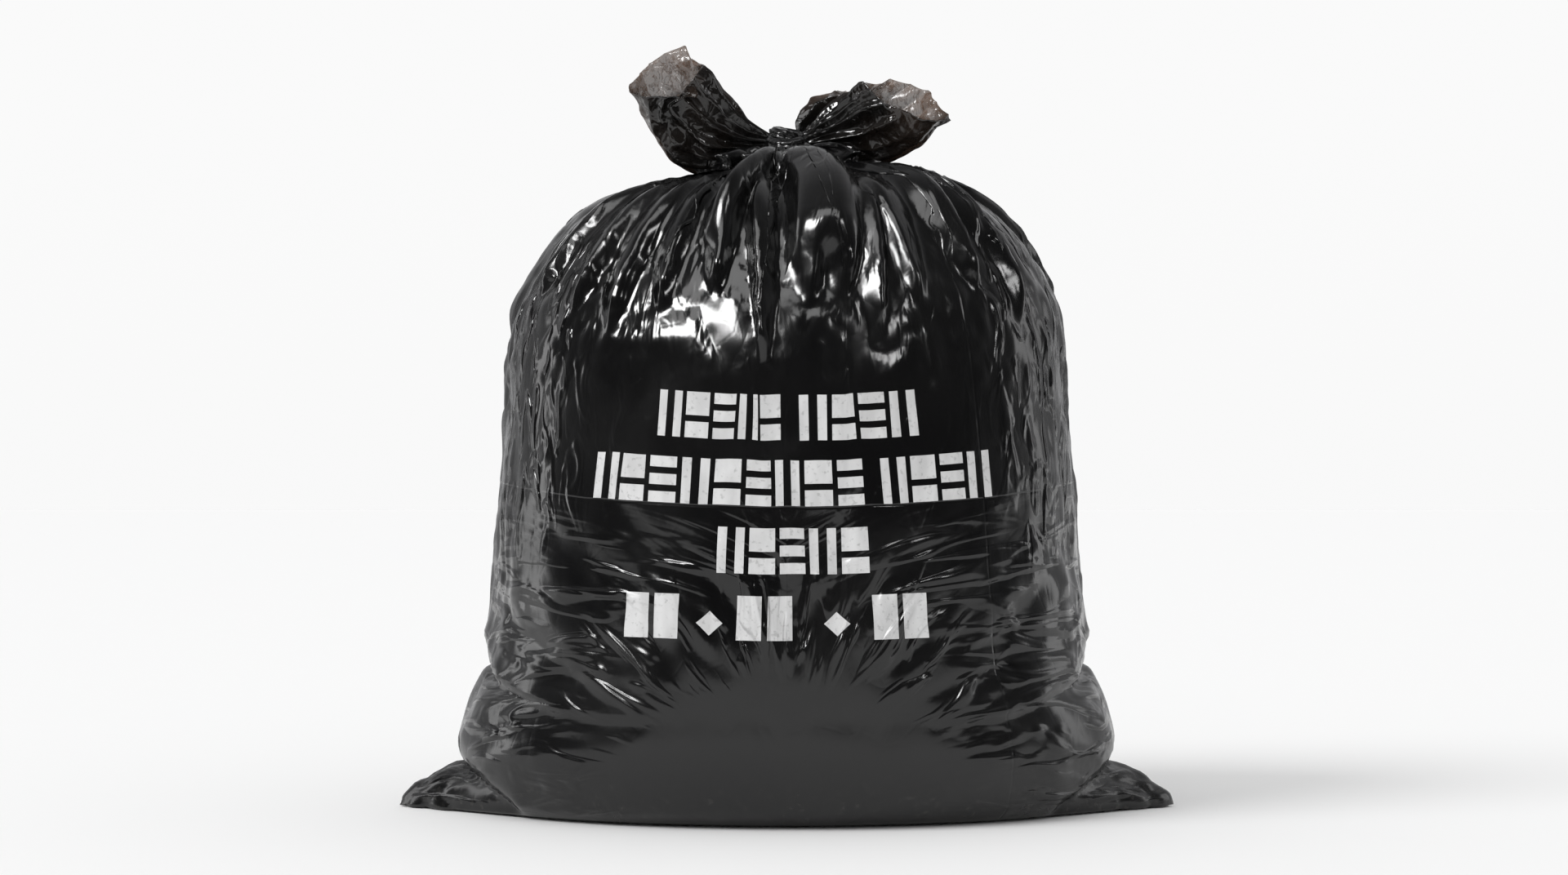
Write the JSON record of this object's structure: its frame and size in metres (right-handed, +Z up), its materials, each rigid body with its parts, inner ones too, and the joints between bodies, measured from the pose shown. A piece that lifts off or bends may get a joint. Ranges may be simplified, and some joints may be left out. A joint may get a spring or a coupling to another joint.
{
  "type": "full bin bag",
  "caption": "Full bin bag of black film standing on its base, tied with its own mouth: gathered neck, two open film ears, side pinch folds and flat welded bottom corners.",
  "frame": {"origin": "on the floor, under the middle of the bag's box", "axes": "+Z up, +X along the bottom weld from corner to corner, -Y the front that the camera faces"},
  "size_m": [0.815, 0.48, 0.7954],
  "materials": {
    "black_film": "glossy wrinkled black polythene film, thin enough at the ears to show brown against the light"
  },
  "bodies": {
    "root": {"bin_bag": "black_film"}
  },
  "joints": []
}
